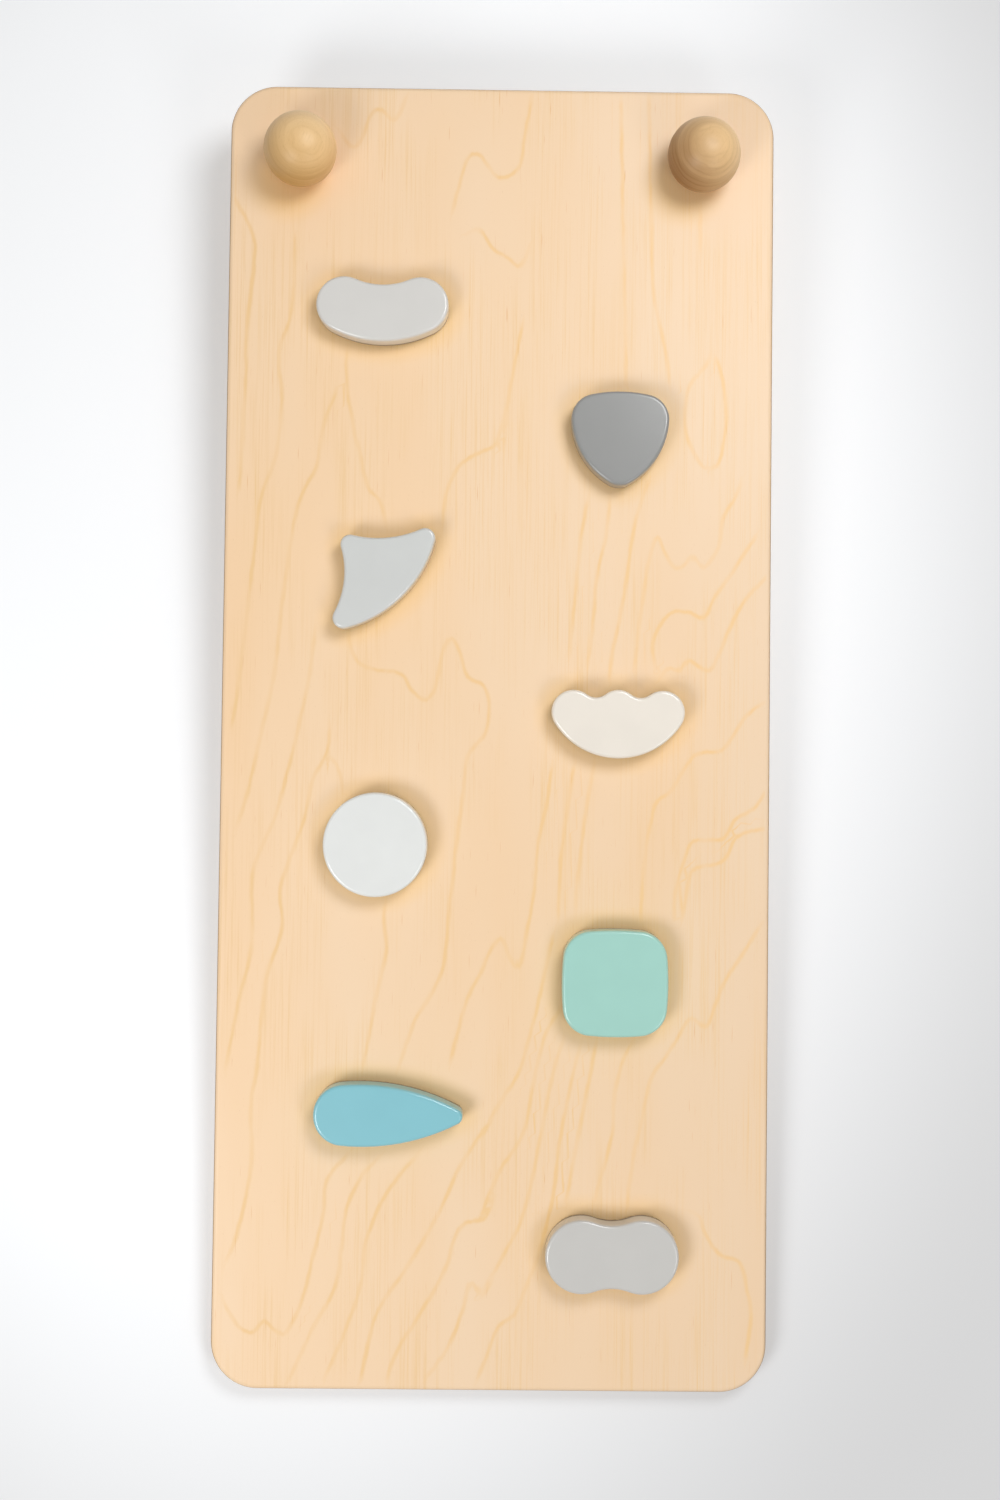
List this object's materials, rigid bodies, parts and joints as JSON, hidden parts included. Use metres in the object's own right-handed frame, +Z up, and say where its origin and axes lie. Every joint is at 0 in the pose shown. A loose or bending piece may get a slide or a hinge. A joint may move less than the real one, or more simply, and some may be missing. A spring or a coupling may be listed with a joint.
{
  "type": "climbing ramp",
  "caption": "Child's reversible climbing ramp: a round-cornered plywood board with painted wooden holds, and ball knobs on both faces that hook over a rung.",
  "frame": {"origin": "on the floor, below the centre of the ramp's bounding box, with the ramp lying on its rear knobs and its foot", "axes": "+X across the board to the right, +Y along the board from the foot to the knobs, +Z up"},
  "size_m": [0.46, 1.0888, 0.134],
  "materials": {
    "plywood": "satin",
    "bean_paint": "satin",
    "triangle_paint": "satin",
    "fin_paint": "satin",
    "cloud_paint": "satin",
    "round_paint": "satin",
    "square_paint": "satin",
    "drop_paint": "satin",
    "peanut_paint": "satin",
    "turned_beech": "satin",
    "brass": "satin",
    "washer_rubber": "matte",
    "screw_steel": "satin",
    "stud_steel": "satin"
  },
  "bodies": {
    "ramp": {"board": "plywood", "bean_hold": "bean_paint", "triangle_hold": "triangle_paint", "fin_hold": "fin_paint", "cloud_hold": "cloud_paint", "round_hold": "round_paint", "square_hold": "square_paint", "drop_hold": "drop_paint", "peanut_hold": "peanut_paint", "bean_hold_screw_1": "screw_steel", "bean_hold_screw_2": "screw_steel", "triangle_hold_screw_1": "screw_steel", "triangle_hold_screw_2": "screw_steel", "fin_hold_screw_1": "screw_steel", "fin_hold_screw_2": "screw_steel", "cloud_hold_screw_1": "screw_steel", "cloud_hold_screw_2": "screw_steel", "round_hold_screw_1": "screw_steel", "round_hold_screw_2": "screw_steel", "square_hold_screw_1": "screw_steel", "square_hold_screw_2": "screw_steel", "drop_hold_screw_1": "screw_steel", "drop_hold_screw_2": "screw_steel", "peanut_hold_screw_1": "screw_steel", "peanut_hold_screw_2": "screw_steel", "left_stud": "stud_steel", "right_stud": "stud_steel"},
    "front_left_knob_seat": {"front_left_knob_washer": "washer_rubber"},
    "front_left_knob": {"front_left_knob": "turned_beech", "front_left_knob_insert": "brass"},
    "front_right_knob_seat": {"front_right_knob_washer": "washer_rubber"},
    "front_right_knob": {"front_right_knob": "turned_beech", "front_right_knob_insert": "brass"},
    "rear_left_knob_seat": {"rear_left_knob_washer": "washer_rubber"},
    "rear_left_knob": {"rear_left_knob": "turned_beech", "rear_left_knob_insert": "brass"},
    "rear_right_knob_seat": {"rear_right_knob_washer": "washer_rubber"},
    "rear_right_knob": {"rear_right_knob": "turned_beech", "rear_right_knob_insert": "brass"}
  },
  "joints": [
    {"name": "front_left_knob_lift", "type": "slide", "parent": "ramp", "child": "front_left_knob_seat", "axis": [0, -0.0568, 0.9984], "range_m": [0, 0.0151]},
    {"name": "front_left_knob_turn", "type": "hinge", "parent": "front_left_knob_seat", "child": "front_left_knob", "pos_m": [-0.1672, 0.47891, 0.07601], "axis": [0, -0.0568, 0.9984], "range_deg": [0, 4320]},
    {"name": "front_right_knob_lift", "type": "slide", "parent": "ramp", "child": "front_right_knob_seat", "axis": [0, -0.0568, 0.9984], "range_m": [0, 0.0151]},
    {"name": "front_right_knob_turn", "type": "hinge", "parent": "front_right_knob_seat", "child": "front_right_knob", "pos_m": [0.1672, 0.47891, 0.07601], "axis": [0, -0.0568, 0.9984], "range_deg": [0, 4320]},
    {"name": "rear_left_knob_lift", "type": "slide", "parent": "ramp", "child": "rear_left_knob_seat", "axis": [0, 0.0568, -0.9984], "range_m": [0, 0.0151]},
    {"name": "rear_left_knob_turn", "type": "hinge", "parent": "rear_left_knob_seat", "child": "rear_left_knob", "pos_m": [-0.1672, 0.47994, 0.05804], "axis": [0, 0.0568, -0.9984], "range_deg": [0, 4320]},
    {"name": "rear_right_knob_lift", "type": "slide", "parent": "ramp", "child": "rear_right_knob_seat", "axis": [0, 0.0568, -0.9984], "range_m": [0, 0.0151]},
    {"name": "rear_right_knob_turn", "type": "hinge", "parent": "rear_right_knob_seat", "child": "rear_right_knob", "pos_m": [0.1672, 0.47994, 0.05804], "axis": [0, 0.0568, -0.9984], "range_deg": [0, 4320]}
  ],
  "couplings": [
    {"joint": "front_left_knob_lift", "follows": "front_left_knob_turn", "m_per_rad": 0.00019894},
    {"joint": "front_right_knob_lift", "follows": "front_right_knob_turn", "m_per_rad": 0.00019894},
    {"joint": "rear_left_knob_lift", "follows": "rear_left_knob_turn", "m_per_rad": 0.00019894},
    {"joint": "rear_right_knob_lift", "follows": "rear_right_knob_turn", "m_per_rad": 0.00019894}
  ]
}
